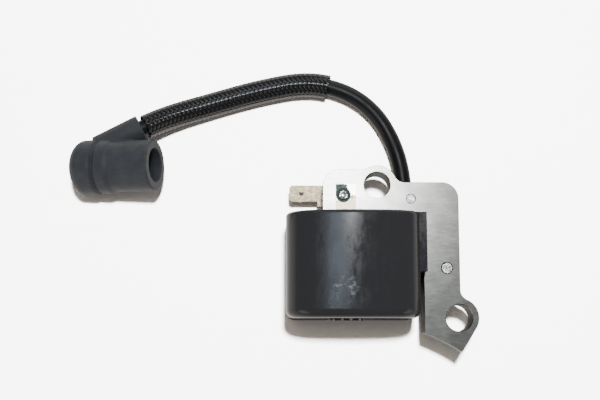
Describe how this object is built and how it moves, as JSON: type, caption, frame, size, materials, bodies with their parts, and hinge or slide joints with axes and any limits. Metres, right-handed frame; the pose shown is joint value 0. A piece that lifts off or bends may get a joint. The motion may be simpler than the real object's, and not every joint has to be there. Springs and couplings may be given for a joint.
{
  "type": "ignition coil",
  "caption": "Transistor ignition coil for a small two-stroke engine: resin-filled case on a laminated core, blade terminal, sleeved high-voltage lead and angled rubber plug boot.",
  "frame": {"origin": "midway between the two fixing holes, on the core's rear face", "axes": "+Z out of the core's front face, towards the case's crown; +Y from the flywheel side towards the yoke bar; +X from the case towards the outer leg"},
  "size_m": [0.1182, 0.0842, 0.0294],
  "materials": {
    "silicon_steel": "brushed with a faint green-grey tint",
    "rivet_steel": "peened steel",
    "case_plastic": "satin moulded black plastic",
    "resin": "cast epoxy, glossy",
    "bobbin_plastic": "moulded",
    "magnet_wire": "enamelled copper wire",
    "tape": "polyester tape",
    "board": "fibreglass board",
    "component_black": "moulded epoxy package",
    "ceramic_part": "fired ceramic",
    "tinned_metal": "tin plated, satin",
    "solder": "dull solder",
    "wire_insulation": "insulated wire",
    "insulator": "hard fibre",
    "rubber": "moulded rubber, matt",
    "lead_jacket": "smooth extruded jacket, satin",
    "copper": "tinned copper strands",
    "braid": "varnished glass-fibre braid",
    "spring_steel": "zinc plated spring wire"
  },
  "bodies": {
    "root": {"core_laminations": "silicon_steel", "core_rivets": "rivet_steel", "coil_case": "case_plastic", "potting_resin": "resin", "primary_bobbin": "bobbin_plastic", "primary_winding": "magnet_wire", "primary_tape": "tape", "secondary_bobbin": "bobbin_plastic", "secondary_windings": "magnet_wire", "circuit_board": "board", "power_transistor": "component_black", "transistor_tab": "tinned_metal", "transistor_leads": "tinned_metal", "control_chip": "component_black", "chip_pins": "tinned_metal", "timing_capacitors": "ceramic_part", "resistors": "component_black", "clamp_diode": "component_black", "primary_leads": "magnet_wire", "secondary_lead": "magnet_wire", "stop_wire": "wire_insulation", "earth_wire": "wire_insulation", "ht_pin": "tinned_metal", "ground_strap": "tinned_metal", "strap_rivet": "rivet_steel", "strap_solder": "solder", "stop_terminal": "tinned_metal", "terminal_insulator": "insulator", "lead_gland": "rubber", "ht_lead": "lead_jacket", "ht_lead_conductor": "copper", "braided_sleeve": "braid", "plug_boot": "rubber", "plug_contact_spring": "spring_steel"}
  },
  "joints": []
}
